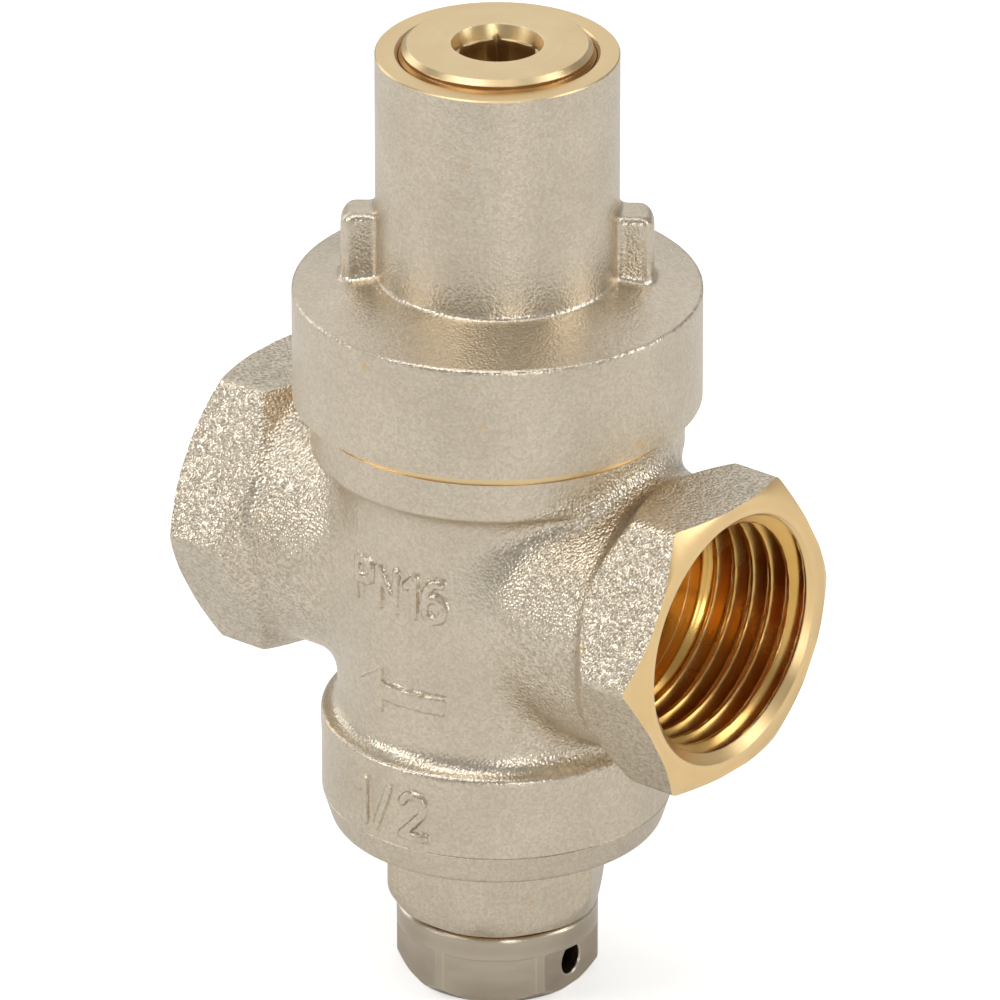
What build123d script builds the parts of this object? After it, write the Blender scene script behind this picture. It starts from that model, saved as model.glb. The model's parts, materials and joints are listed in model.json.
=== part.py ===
from build123d import *
import math
import os

# Piston-type pressure reducing valve with two G1/2 female ports, as an assembly of its
# separate pieces. Millimetres, +Z up. Every height below is measured from the axis of the
# ports, and each piece is lifted by PORT_HEIGHT when it is written, so that the flat end of
# the bottom plug stands at z = 0. The inlet port faces +X and the outlet port faces -X.

# --- Whole valve ---------------------------------------------------------------------
PORT_HEIGHT = 36.5          # port axis above the flat end of the bottom plug
PORT_REACH = 24.0           # from the vertical axis to each port's end face
SLIP = 0.02                 # radial gap between pieces that are fixed together
RUNNING = 0.05              # radial gap between pieces that slide
THREAD_GAP = 0.1            # radial gap between a pair of screwed threads

# --- Pipe ports, G1/2 (ISO 228) --------------------------------------------------------
PIPE_MINOR_R = 9.316        # the bore is a plain wall at the thread's crests
PIPE_MAJOR_R = 10.478       # mouth of the countersink
PIPE_RELIEF_R = 9.6         # run-out groove at the inner end of the thread
PIPE_RELIEF_WIDTH = 0.8
PORT_BORE_FLOOR = 12.4      # x where the port bore ends inside the body
PORT_HEX_FLATS = 23.3       # across flats
PORT_FACE_R = 11.75
PORT_CHAMFER = 1.0
PORT_HEX_INNER = 19.2       # x where the hexagon gives way to its shoulders
PORT_SHOULDER_END = 16.9
PORT_NECK_R = 11.4

# --- Body ------------------------------------------------------------------------------
BARREL_R = 12.9
BARREL_TOP = 8.2
COLLAR_R = 14.9
COLLAR_BOTTOM = 10.4
COLLAR_TOP = 13.6
SEAT_LAND_R = 14.85         # machined land that the bonnet closes on
SEAT_LAND_TOP = 14.8
NECK_TOP = 22.0
CHAMBER_R = 14.2            # outside of the lower chamber
CHAMBER_TOP = -13.05
SHOULDER_TOP = -11.0        # where the rounded shoulder of the lower chamber meets the barrel
SHOULDER_STEPS = 6
SEAM = -20.0                # joint between the body and the bottom cover
PISTON_BORE_R = 11.5
PISTON_BORE_FLOOR = 12.5
OUTLET_CHAMBER_R = 10.5
WEB_TOP = 4.5               # web that parts the two chambers and holds the seat ring
WEB_BOTTOM = -5.0
THROAT_R = 6.5
INLET_CHAMBER_R = 10.8
PASSAGE_R = 4.0
INLET_PASSAGE_HEIGHT = -5.2
INLET_PASSAGE_END = 8.5
OUTLET_PASSAGE_HEIGHT = 5.0
OUTLET_PASSAGE_END = 8.0

# --- Threads that hold the casing together ---------------------------------------------
METRIC_FLANK = 30.0
CASE_PITCH = 1.5
CASE_THREAD_DEPTH = 0.9
NECK_THREAD_R = 14.0        # M28 x 1.5
NECK_THREAD_BOTTOM = 15.5
NECK_RIDGES = 4
COVER_THREAD_R = 12.0       # M24 x 1.5
COVER_THREAD_BOTTOM = -18.3
COVER_RIDGES = 4
PLUG_THREAD_R = 6.0         # M12 x 1
PLUG_PITCH = 1.0
PLUG_THREAD_DEPTH = 0.6
PLUG_THREAD_BOTTOM = -29.6
PLUG_RIDGES = 4

# --- Bonnet ----------------------------------------------------------------------------
SKIRT_R = 16.41
SKIRT_TOP = 24.26
TOWER_R = 9.73
TOWER_FOOT = 25.56
TOWER_TOP = 44.5
SPRING_BORE_R = 7.9
RIM_BORE_R = 8.18
BONNET_CEILING = 22.5
LUG_REACH = 12.65
LUG_WIDTH = 3.6
LUG_TOP = 30.9
LUG_CORNER_R = 1.4
LUG_ANGLES = (36.7, 216.7)
EDGE_BREAK = 0.4

# --- Adjusting nut and thrust washer -----------------------------------------------------
NUT_R = SPRING_BORE_R - 0.04
NUT_TOP = 45.25
NUT_BOTTOM = 38.5
NUT_FACE_R = 7.18
NUT_SHOULDER_R = 7.6
NUT_LAND_TOP = 44.25        # plain land above the nut's thread
NUT_PITCH = 1.0
NUT_THREAD_DEPTH = 0.5
NUT_RIDGES = 5
SOCKET_FLATS = 6.0
SOCKET_DEPTH = 5.0
SOCKET_MOUTH_R = 3.68
SOCKET_CONE_R = 3.32        # the mouth narrows to this at its foot
SOCKET_CONE_DEPTH = 1.15
SOCKET_ANGLE = 8.3
WASHER_R = 7.2
WASHER_THICKNESS = 1.2

# --- Piston and its rings ----------------------------------------------------------------
PISTON_BOTTOM = 12.6
PISTON_TOP = 20.0
PISTON_FLOOR = 15.0
PISTON_RECESS_R = 8.0
PISTON_RING_GROOVE = (9.4, 14.2, 16.6)      # groove root radius, bottom, top
GUIDE_RING_GROOVE = (10.4, 17.6, 19.4)

# --- Stem, disc and balance piston ---------------------------------------------------------
LIFT = 2.0                  # piston travel from fully open to closed
STEM_R = 2.5
STEM_END_R = 2.0
STEM_TOP = 18.7
STEM_BOTTOM = -27.0
STEM_SHOULDER = -8.2
NUT_FLATS = 7.0             # M4 hexagon nuts
NUT_HEIGHT = 3.2
RETAINER_R = 4.0
DISC_TOP = -9.02
DISC_R = 6.2
HOLDER_R = 6.9
HOLDER_LIP = -9.6
HOLDER_FLOOR = -11.0
HOLDER_BOTTOM = -12.5
BALANCE_R = 4.75
BALANCE_BOTTOM = -23.4
BALANCE_GROOVE = (3.4, -22.3, -20.5)

# --- Seat ring ---------------------------------------------------------------------------
SEAT_BORE_R = 4.75
SEAT_TOP = 3.5
SEAT_FLANGE_R = 7.5
SEAT_FLANGE_BOTTOM = -6.5
SEAT_LIP = (5.2, 5.6, -7.0)                 # inner radius, outer radius, edge height
SEAT_RING_GROOVE = (5.5, -2.7, -1.5)

# --- Spring ------------------------------------------------------------------------------
WIRE_R = 1.1
COIL_R = 6.2
ACTIVE_COILS = 4.0
END_COILS = 1.0             # closed coils at each end
POINTS_PER_COIL = 12

# --- Bottom cover and plug -----------------------------------------------------------------
COVER_RIM_R = 13.36
COVER_RIM_BOTTOM = -22.7
COVER_TOP = -12.0
COVER_CUP_R = 8.5
COVER_CUP_FLOOR = -18.0
COVER_HEX_FLATS = 16.7
COVER_HEX_BOTTOM = -28.2
COVER_BOTTOM = -30.1
COVER_END_R = 8.35
COVER_SEAL_R = 12.6
COVER_SEAL_DEPTH = 1.6
BALANCE_BORE_BOTTOM = -25.0
GASKET_R = 7.7
GASKET_THICKNESS = 0.3
PLUG_R = 8.18
PLUG_TOP = -25.3
PLUG_FLATS = 14.5
PLUG_FLATS_TOP = -32.4
PLUG_CHAMFER = 0.85
PLUG_ANGLE = 33.2           # polar angle of one corner of the plug's hexagon
PLUG_BORE_R = 4.4
PLUG_BORE_FLOOR = -28.0
VENT_R = 1.3
VENT_HEIGHT = -34.2
VENT_ANGLE = 3.2

# --- Cast marks on the -Y side ---------------------------------------------------------------
MARK_RELIEF = 0.45
ARROW_HEIGHT = -7.3
ARROW_LENGTH = 8.7
ARROW_SHAFT = 1.5
ARROW_HEAD = 3.4


def turned(*corners):
    """Solid of revolution about the vertical axis, from (radius, height) corners."""
    outline = Polyline(*[(radius, 0, height) for radius, height in corners], close=True)
    return revolve(make_face(outline), Axis.Z)


def ring(inner, outer, bottom, top):
    """Plain ring, or a disc when the inner radius is nought."""
    return turned((inner, bottom), (outer, bottom), (outer, top), (inner, top))


def o_ring(inner, outer, height):
    """Round-section ring that fills the gap between two radii."""
    section = (outer - inner) / 2
    return Pos(0, 0, height) * Torus(inner + section, section)


def ridges(root, crest, start, pitch, count):
    """(radius, height) corners of a row of thread ridges, upwards from start."""
    flat = pitch / 2 - (crest - root) * math.tan(math.radians(METRIC_FLANK))
    corners = []
    for index in range(count):
        base = start + index * pitch
        corners.append((root, base + flat / 2))
        corners.append((crest, base + pitch / 2 - flat / 2))
        corners.append((crest, base + pitch / 2 + flat / 2))
        corners.append((root, base + pitch - flat / 2))
    return corners


def hexagon(flats, bottom, top, angle=0.0):
    """Upright hexagonal prism with one corner at the given polar angle."""
    outline = RegularPolygon(flats / 2, 6, major_radius=False, rotation=angle)
    return Pos(0, 0, bottom) * extrude(outline, top - bottom)


def along_x(solid, sign=1):
    """Lay a solid of revolution down so that its +Z points along +X or -X."""
    return Rot(0, sign * 90, 0) * solid


def port_arm():
    """Hexagon-ended arm of one port, pointing up, before it is bored."""
    corner_r = PORT_HEX_FLATS / math.sqrt(3)
    envelope = turned(
        (0, 0),
        (PORT_NECK_R, 0),
        (PORT_NECK_R, PORT_SHOULDER_END),
        (corner_r, PORT_HEX_INNER),
        (corner_r, PORT_REACH - PORT_CHAMFER),
        (PORT_FACE_R, PORT_REACH),
        (0, PORT_REACH),
    )
    return envelope & hexagon(PORT_HEX_FLATS, 0, PORT_REACH, angle=30)


def port_bore():
    """Space inside one port, pointing up: run-out groove, bore and countersunk mouth."""
    return turned(
        (0, PORT_BORE_FLOOR),
        (PIPE_RELIEF_R, PORT_BORE_FLOOR),
        (PIPE_RELIEF_R, PORT_BORE_FLOOR + PIPE_RELIEF_WIDTH),
        (PIPE_MINOR_R, PORT_BORE_FLOOR + PIPE_RELIEF_WIDTH),
        (PIPE_MINOR_R, PORT_REACH - (PIPE_MAJOR_R - PIPE_MINOR_R)),
        (PIPE_MAJOR_R, PORT_REACH),
        (0, PORT_REACH),
    )


def passage(height, end, sign):
    """Round passage from a port bore into its chamber."""
    length = PORT_BORE_FLOOR - end
    drill = Pos(0, 0, end) * Cylinder(PASSAGE_R, length, align=(Align.CENTER, Align.CENTER, Align.MIN))
    return Pos(0, 0, height) * along_x(drill, sign)


def flow_arrow():
    """Raised arrow on the -Y side of the barrel, pointing from inlet to outlet."""
    tip = -ARROW_LENGTH / 2
    neck = tip + ARROW_HEAD * 0.8
    tail = ARROW_LENGTH / 2
    shaft = ARROW_SHAFT / 2
    head = ARROW_HEAD / 2
    outline = Polyline(
        (tip, 0), (neck, head), (neck, shaft), (tail, shaft),
        (tail, -shaft), (neck, -shaft), (neck, -head), close=True,
    )
    plane = Plane(origin=(0, 0, ARROW_HEIGHT), x_dir=(1, 0, 0), z_dir=(0, -1, 0))
    block = extrude(plane * make_face(outline), BARREL_R + MARK_RELIEF)
    skin = ring(BARREL_R - MARK_RELIEF, BARREL_R + MARK_RELIEF,
                ARROW_HEIGHT - ARROW_HEAD, ARROW_HEIGHT + ARROW_HEAD)
    return block & skin


def body():
    """Cast body: barrel, two port arms, chambers, web and the bonnet's threaded neck."""
    neck_root = NECK_THREAD_R - CASE_THREAD_DEPTH
    shoulder = []
    for step in range(SHOULDER_STEPS + 1):
        turn = math.radians(90 * step / SHOULDER_STEPS)
        shoulder.append((
            BARREL_R + (CHAMBER_R - BARREL_R) * math.cos(turn),
            CHAMBER_TOP + (SHOULDER_TOP - CHAMBER_TOP) * math.sin(turn),
        ))
    outside = turned(
        (0, SEAM),
        (CHAMBER_R, SEAM),
        *shoulder,
        (BARREL_R, BARREL_TOP),
        (COLLAR_R, COLLAR_BOTTOM),
        (COLLAR_R, COLLAR_TOP),
        (SEAT_LAND_R, COLLAR_TOP),
        (SEAT_LAND_R, SEAT_LAND_TOP),
        (neck_root, SEAT_LAND_TOP),
        *ridges(neck_root, NECK_THREAD_R, NECK_THREAD_BOTTOM, CASE_PITCH, NECK_RIDGES),
        (neck_root, NECK_TOP - EDGE_BREAK),
        (neck_root - EDGE_BREAK, NECK_TOP),
        (0, NECK_TOP),
    )
    cover_root = COVER_THREAD_R - CASE_THREAD_DEPTH + THREAD_GAP
    cover_crest = COVER_THREAD_R + THREAD_GAP
    inside = turned(
        (0, SEAM),
        (COVER_SEAL_R, SEAM),
        (COVER_SEAL_R, SEAM + COVER_SEAL_DEPTH),
        (cover_root, SEAM + COVER_SEAL_DEPTH),
        *ridges(cover_root, cover_crest, COVER_THREAD_BOTTOM, CASE_PITCH, COVER_RIDGES),
        (cover_root, COVER_TOP + THREAD_GAP),
        (INLET_CHAMBER_R, COVER_TOP + THREAD_GAP),
        (INLET_CHAMBER_R, WEB_BOTTOM),
        (THROAT_R, WEB_BOTTOM),
        (THROAT_R, WEB_TOP),
        (OUTLET_CHAMBER_R, WEB_TOP),
        (OUTLET_CHAMBER_R, PISTON_BORE_FLOOR),
        (PISTON_BORE_R, PISTON_BORE_FLOOR),
        (PISTON_BORE_R, NECK_TOP),
        (0, NECK_TOP),
    )
    casting = outside + along_x(port_arm(), 1) + along_x(port_arm(), -1) + flow_arrow()
    casting -= inside
    for sign in (1, -1):
        casting -= along_x(port_bore(), sign)
    casting -= passage(INLET_PASSAGE_HEIGHT, INLET_PASSAGE_END, 1)
    casting -= passage(OUTLET_PASSAGE_HEIGHT, OUTLET_PASSAGE_END, -1)
    return casting


def lug(angle):
    """Spanner lug that stands out of the bonnet's tower."""
    inner = TOWER_R - 1.0
    length = LUG_REACH - inner
    outline = Pos(inner + length / 2, 0) * Rectangle(length, LUG_WIDTH)
    outer_corners = outline.vertices().sort_by(Axis.X)[-2:]
    outline = fillet(outer_corners, LUG_CORNER_R)
    post = extrude(outline, LUG_TOP - SKIRT_TOP)
    return Rot(0, 0, angle) * Pos(0, 0, SKIRT_TOP) * post


def bonnet():
    """Cast bonnet: threaded skirt, sloping top and the tower that guides the spring."""
    outside = turned(
        (0, SEAT_LAND_TOP),
        (SKIRT_R - EDGE_BREAK, SEAT_LAND_TOP),
        (SKIRT_R, SEAT_LAND_TOP + EDGE_BREAK),
        (SKIRT_R, SKIRT_TOP - EDGE_BREAK),
        (SKIRT_R - EDGE_BREAK, SKIRT_TOP),
        (TOWER_R, TOWER_FOOT),
        (TOWER_R, TOWER_TOP),
        (0, TOWER_TOP),
    )
    thread_root = NECK_THREAD_R - CASE_THREAD_DEPTH + THREAD_GAP
    thread_crest = NECK_THREAD_R + THREAD_GAP
    rim_chamfer = RIM_BORE_R - SPRING_BORE_R
    inside = turned(
        (0, SEAT_LAND_TOP),
        (thread_crest, SEAT_LAND_TOP),
        (thread_root, NECK_THREAD_BOTTOM),
        *ridges(thread_root, thread_crest, NECK_THREAD_BOTTOM, CASE_PITCH, NECK_RIDGES),
        (thread_root, BONNET_CEILING),
        (SPRING_BORE_R, BONNET_CEILING),
        (SPRING_BORE_R, TOWER_TOP - rim_chamfer),
        (RIM_BORE_R, TOWER_TOP),
        (0, TOWER_TOP),
    )
    casting = outside
    for angle in LUG_ANGLES:
        casting += lug(angle)
    return casting - inside


def adjusting_nut():
    """Threaded brass disc with a hexagon socket, turned to set the spring."""
    thread_root = NUT_R - NUT_THREAD_DEPTH
    blank = turned(
        (0, NUT_BOTTOM),
        (thread_root, NUT_BOTTOM),
        *ridges(thread_root, NUT_R, NUT_BOTTOM + 0.3, NUT_PITCH, NUT_RIDGES),
        (NUT_R, NUT_LAND_TOP),
        (NUT_SHOULDER_R, TOWER_TOP),
        (NUT_SHOULDER_R, NUT_TOP - (NUT_SHOULDER_R - NUT_FACE_R)),
        (NUT_FACE_R, NUT_TOP),
        (0, NUT_TOP),
    )
    socket = hexagon(SOCKET_FLATS, NUT_TOP - SOCKET_DEPTH, NUT_TOP, SOCKET_ANGLE)
    half_flats = SOCKET_FLATS / 2
    drill_point = turned(
        (0, NUT_TOP - SOCKET_DEPTH - half_flats / math.sqrt(3)),
        (half_flats, NUT_TOP - SOCKET_DEPTH),
        (0, NUT_TOP - SOCKET_DEPTH),
    )
    mouth = turned(
        (0, NUT_TOP - SOCKET_CONE_DEPTH),
        (SOCKET_CONE_R, NUT_TOP - SOCKET_CONE_DEPTH),
        (SOCKET_MOUTH_R, NUT_TOP),
        (0, NUT_TOP),
    )
    return blank - socket - drill_point - mouth


def thrust_washer():
    """Washer that takes the spring's load under the turning nut."""
    return ring(STEM_R, WASHER_R, NUT_BOTTOM - WASHER_THICKNESS, NUT_BOTTOM)


def main_spring():
    """Compression spring with closed, ground ends, from the piston to the thrust washer."""
    bottom = PISTON_FLOOR
    top = NUT_BOTTOM - WASHER_THICKNESS
    coils = ACTIVE_COILS + 2 * END_COILS
    closed_pitch = 2 * WIRE_R + 0.1
    first = bottom + WIRE_R * 0.5
    last = top - WIRE_R * 0.5
    open_pitch = (last - first - 2 * END_COILS * closed_pitch) / ACTIVE_COILS
    points = []
    for step in range(round(coils * POINTS_PER_COIL) + 1):
        turn = step / POINTS_PER_COIL
        low = min(turn, END_COILS) * closed_pitch
        middle = min(max(turn - END_COILS, 0), ACTIVE_COILS) * open_pitch
        high = max(turn - END_COILS - ACTIVE_COILS, 0) * closed_pitch
        angle = math.tau * turn
        height = first + low + middle + high
        points.append((COIL_R * math.cos(angle), COIL_R * math.sin(angle), height))
    centreline = Spline(*points)
    section = Plane(origin=centreline @ 0, z_dir=centreline % 0) * Circle(WIRE_R)
    wire = sweep(section, path=centreline, is_frenet=True)
    return wire & ring(0, COIL_R + 2 * WIRE_R, bottom, top)


def piston():
    """Brass piston that the outlet pressure lifts against the spring."""
    seal_root, seal_bottom, seal_top = PISTON_RING_GROOVE
    guide_root, guide_bottom, guide_top = GUIDE_RING_GROOVE
    outer = PISTON_BORE_R - RUNNING
    hole = STEM_END_R + SLIP
    return turned(
        (hole, PISTON_BOTTOM),
        (outer, PISTON_BOTTOM),
        (outer, seal_bottom),
        (seal_root, seal_bottom),
        (seal_root, seal_top),
        (outer, seal_top),
        (outer, guide_bottom),
        (guide_root, guide_bottom),
        (guide_root, guide_top),
        (outer, guide_top),
        (outer, PISTON_TOP),
        (PISTON_RECESS_R, PISTON_TOP),
        (PISTON_RECESS_R, PISTON_FLOOR),
        (hole, PISTON_FLOOR),
    )


def piston_oring():
    """Seal between the piston and the body's bore."""
    root, bottom, top = PISTON_RING_GROOVE
    return o_ring(root + SLIP, PISTON_BORE_R - SLIP, (bottom + top) / 2)


def piston_guide_ring():
    """Plastic ring that keeps the piston from touching its bore."""
    root, bottom, top = GUIDE_RING_GROOVE
    return ring(root + SLIP, PISTON_BORE_R - 0.03, bottom + SLIP, top - SLIP)


def stem():
    """Stainless stem that ties the piston to the valve disc."""
    return turned(
        (0, STEM_BOTTOM),
        (STEM_END_R - EDGE_BREAK, STEM_BOTTOM),
        (STEM_END_R, STEM_BOTTOM + EDGE_BREAK),
        (STEM_END_R, STEM_SHOULDER),
        (STEM_R, STEM_SHOULDER),
        (STEM_R, PISTON_BOTTOM),
        (STEM_END_R, PISTON_BOTTOM),
        (STEM_END_R, STEM_TOP - EDGE_BREAK),
        (STEM_END_R - EDGE_BREAK, STEM_TOP),
        (0, STEM_TOP),
    )


def stem_nut(bottom):
    """M4 nut with its corners turned off at both faces."""
    corner_r = NUT_FLATS / math.sqrt(3)
    face_r = NUT_FLATS / 2
    drop = (corner_r - face_r) * math.tan(math.radians(METRIC_FLANK))
    envelope = turned(
        (STEM_END_R + SLIP, bottom),
        (face_r, bottom),
        (corner_r, bottom + drop),
        (corner_r, bottom + NUT_HEIGHT - drop),
        (face_r, bottom + NUT_HEIGHT),
        (STEM_END_R + SLIP, bottom + NUT_HEIGHT),
    )
    return envelope & hexagon(NUT_FLATS, bottom, bottom + NUT_HEIGHT)


def stem_nuts():
    """The two nuts: one on the piston, one under the balance piston."""
    return Compound([stem_nut(PISTON_FLOOR), stem_nut(BALANCE_BOTTOM - NUT_HEIGHT)])


def seat_ring():
    """Stainless seat pressed into the web, with the lip that the disc closes on."""
    lip_inner, lip_outer, lip_edge = SEAT_LIP
    root, groove_bottom, groove_top = SEAT_RING_GROOVE
    outer = THROAT_R - SLIP
    return turned(
        (SEAT_BORE_R, SEAT_TOP),
        (SEAT_BORE_R, SEAT_FLANGE_BOTTOM),
        (lip_inner, lip_edge),
        (lip_outer, lip_edge),
        (lip_outer, SEAT_FLANGE_BOTTOM),
        (SEAT_FLANGE_R, SEAT_FLANGE_BOTTOM),
        (SEAT_FLANGE_R, WEB_BOTTOM),
        (outer, WEB_BOTTOM),
        (outer, groove_bottom),
        (root, groove_bottom),
        (root, groove_top),
        (outer, groove_top),
        (outer, SEAT_TOP),
    )


def seat_oring():
    """Seal between the seat ring and the web."""
    root, bottom, top = SEAT_RING_GROOVE
    return o_ring(root + SLIP, THROAT_R - SLIP, (bottom + top) / 2)


def disc_holder():
    """Cup for the rubber disc, in one piece with the balance piston below it."""
    root, groove_bottom, groove_top = BALANCE_GROOVE
    hole = STEM_END_R + SLIP
    cup_r = DISC_R + SLIP
    return turned(
        (hole, HOLDER_FLOOR),
        (cup_r, HOLDER_FLOOR),
        (cup_r, HOLDER_LIP),
        (HOLDER_R, HOLDER_LIP),
        (HOLDER_R, HOLDER_BOTTOM),
        (BALANCE_R, HOLDER_BOTTOM),
        (BALANCE_R, groove_top),
        (root, groove_top),
        (root, groove_bottom),
        (BALANCE_R, groove_bottom),
        (BALANCE_R, BALANCE_BOTTOM),
        (hole, BALANCE_BOTTOM),
    )


def seat_disc():
    """Rubber disc that closes on the seat's lip."""
    return ring(STEM_END_R + SLIP, DISC_R, HOLDER_FLOOR, DISC_TOP)


def disc_retainer():
    """Stainless washer that clamps the rubber disc under the stem's shoulder."""
    return ring(STEM_END_R + SLIP, RETAINER_R, DISC_TOP, STEM_SHOULDER)


def balance_oring():
    """Seal between the balance piston and the bottom cover."""
    root, bottom, top = BALANCE_GROOVE
    return o_ring(root + SLIP, BALANCE_R + RUNNING - SLIP, (bottom + top) / 2)


def bottom_cover():
    """Cover that closes the lower chamber, with a hexagon neck and the balance bore."""
    corner_r = COVER_HEX_FLATS / math.sqrt(3)
    neck_envelope = turned(
        (0, COVER_BOTTOM),
        (COVER_END_R, COVER_BOTTOM),
        (corner_r, COVER_HEX_BOTTOM),
        (corner_r, COVER_RIM_BOTTOM),
        (0, COVER_RIM_BOTTOM),
    )
    neck = neck_envelope & hexagon(COVER_HEX_FLATS, COVER_BOTTOM, COVER_RIM_BOTTOM)
    thread_root = COVER_THREAD_R - CASE_THREAD_DEPTH
    rim = turned(
        (0, COVER_RIM_BOTTOM),
        (COVER_RIM_R - EDGE_BREAK, COVER_RIM_BOTTOM),
        (COVER_RIM_R, COVER_RIM_BOTTOM + EDGE_BREAK),
        (CHAMBER_R, SEAM),
        (thread_root, SEAM),
        *ridges(thread_root, COVER_THREAD_R, COVER_THREAD_BOTTOM, CASE_PITCH, COVER_RIDGES),
        (thread_root - EDGE_BREAK, COVER_TOP),
        (0, COVER_TOP),
    )
    plug_root = PLUG_THREAD_R - PLUG_THREAD_DEPTH + THREAD_GAP
    plug_crest = PLUG_THREAD_R + THREAD_GAP
    inside = turned(
        (0, COVER_BOTTOM),
        (plug_root, COVER_BOTTOM),
        *ridges(plug_root, plug_crest, PLUG_THREAD_BOTTOM, PLUG_PITCH, PLUG_RIDGES),
        (plug_root, BALANCE_BORE_BOTTOM),
        (BALANCE_R + RUNNING, BALANCE_BORE_BOTTOM),
        (BALANCE_R + RUNNING, COVER_CUP_FLOOR),
        (COVER_CUP_R, COVER_CUP_FLOOR),
        (COVER_CUP_R, COVER_TOP),
        (0, COVER_TOP),
    )
    return rim + neck - inside


def cover_oring():
    """Seal between the bottom cover and the body."""
    inner = COVER_THREAD_R - CASE_THREAD_DEPTH + SLIP
    return o_ring(inner, COVER_SEAL_R - SLIP, SEAM + COVER_SEAL_DEPTH / 2)


def plug_gasket():
    """Flat ring under the head of the bottom plug."""
    return ring(PLUG_THREAD_R + THREAD_GAP, GASKET_R, COVER_BOTTOM - GASKET_THICKNESS, COVER_BOTTOM)


def bottom_plug():
    """Hexagon plug that closes the balance chamber and vents it through a side hole."""
    head_top = COVER_BOTTOM - GASKET_THICKNESS
    thread_root = PLUG_THREAD_R - PLUG_THREAD_DEPTH
    head = turned(
        (0, -PORT_HEIGHT),
        (PLUG_R - PLUG_CHAMFER, -PORT_HEIGHT),
        (PLUG_R, PLUG_CHAMFER - PORT_HEIGHT),
        (PLUG_R, head_top - EDGE_BREAK / 2),
        (PLUG_R - EDGE_BREAK / 2, head_top),
        (0, head_top),
    )
    collar = ring(0, PLUG_R, PLUG_FLATS_TOP, head_top)
    grip = hexagon(PLUG_FLATS, -PORT_HEIGHT, PLUG_FLATS_TOP, PLUG_ANGLE)
    shank = turned(
        (0, head_top),
        (thread_root, head_top),
        *ridges(thread_root, PLUG_THREAD_R, PLUG_THREAD_BOTTOM, PLUG_PITCH, PLUG_RIDGES),
        (thread_root, PLUG_TOP),
        (0, PLUG_TOP),
    )
    bore = ring(0, PLUG_BORE_R, PLUG_BORE_FLOOR, PLUG_TOP)
    drain = ring(0, VENT_R, VENT_HEIGHT, PLUG_BORE_FLOOR)
    vent = Cylinder(VENT_R, PLUG_R, align=(Align.CENTER, Align.CENTER, Align.MIN))
    vent = Pos(0, 0, VENT_HEIGHT) * Rot(0, 0, VENT_ANGLE) * Rot(0, 90, 0) * vent
    return (head & (collar + grip)) + shank - bore - drain - vent


PIECES = (
    body, bonnet, adjusting_nut, thrust_washer, main_spring,
    piston, piston_oring, piston_guide_ring, stem, stem_nuts,
    seat_ring, seat_oring, disc_holder, seat_disc, disc_retainer, balance_oring,
    bottom_cover, cover_oring, bottom_plug, plug_gasket,
)

os.makedirs("parts", exist_ok=True)
for piece in PIECES:
    export_step(Pos(0, 0, PORT_HEIGHT) * piece(), f"parts/{piece.__name__}.step")
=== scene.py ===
import json
import math

import bmesh
import bpy
import numpy as np
from mathutils import Matrix, Vector


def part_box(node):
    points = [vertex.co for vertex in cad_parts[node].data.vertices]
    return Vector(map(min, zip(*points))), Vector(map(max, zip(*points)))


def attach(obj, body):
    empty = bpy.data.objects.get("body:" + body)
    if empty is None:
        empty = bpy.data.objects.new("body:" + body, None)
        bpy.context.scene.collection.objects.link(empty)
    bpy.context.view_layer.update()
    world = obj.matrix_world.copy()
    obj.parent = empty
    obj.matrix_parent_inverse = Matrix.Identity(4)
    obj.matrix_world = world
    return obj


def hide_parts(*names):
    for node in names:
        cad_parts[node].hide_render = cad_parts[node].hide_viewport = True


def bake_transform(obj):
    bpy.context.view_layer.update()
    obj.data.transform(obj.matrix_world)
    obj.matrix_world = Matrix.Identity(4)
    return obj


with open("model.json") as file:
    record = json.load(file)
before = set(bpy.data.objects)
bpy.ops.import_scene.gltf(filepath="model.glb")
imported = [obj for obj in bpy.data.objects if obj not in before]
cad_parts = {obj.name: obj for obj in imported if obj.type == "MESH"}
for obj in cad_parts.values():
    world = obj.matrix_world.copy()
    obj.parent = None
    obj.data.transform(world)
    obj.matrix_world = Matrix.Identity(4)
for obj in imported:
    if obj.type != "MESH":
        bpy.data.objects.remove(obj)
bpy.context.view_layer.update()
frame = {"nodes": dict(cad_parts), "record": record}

# Shapes are worked out in millimetres from the port axis, and become metres in the row frame
# when a mesh is made.
MM = 0.001
TINY = 0.001 * MM
MOUNTS = {mount["name"]: mount for mount in frame["record"]["mounts"]}
PORT_AXIS = Vector(MOUNTS["inlet_thread"]["pos_m"]) * Vector((0, 0, 1))
SAME = 0.02                 # two lengths closer than this are one


def span(node):
    """Lowest and highest corner of a CAD node, in millimetres from the port axis."""
    return [(corner - PORT_AXIS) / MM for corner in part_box(node)]


def rings(node):
    """(radius about the vertical axis, height) of a CAD node's vertices, in millimetres."""
    points = np.array([(v.co - PORT_AXIS) / MM for v in frame["nodes"][node].data.vertices])
    return np.hypot(points[:, 0], points[:, 1]), points[:, 2]


def radius_at(node, height):
    """Outer radius of a CAD node at one of its own levels."""
    radii, heights = rings(node)
    return float(radii[np.abs(heights - height) < SAME].max())


def levels_at(node, radius):
    """Lowest and highest level at which a CAD node has vertices at a radius."""
    radii, heights = rings(node)
    found = heights[np.abs(radii - radius) < SAME]
    return float(found.min()), float(found.max())


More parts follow.
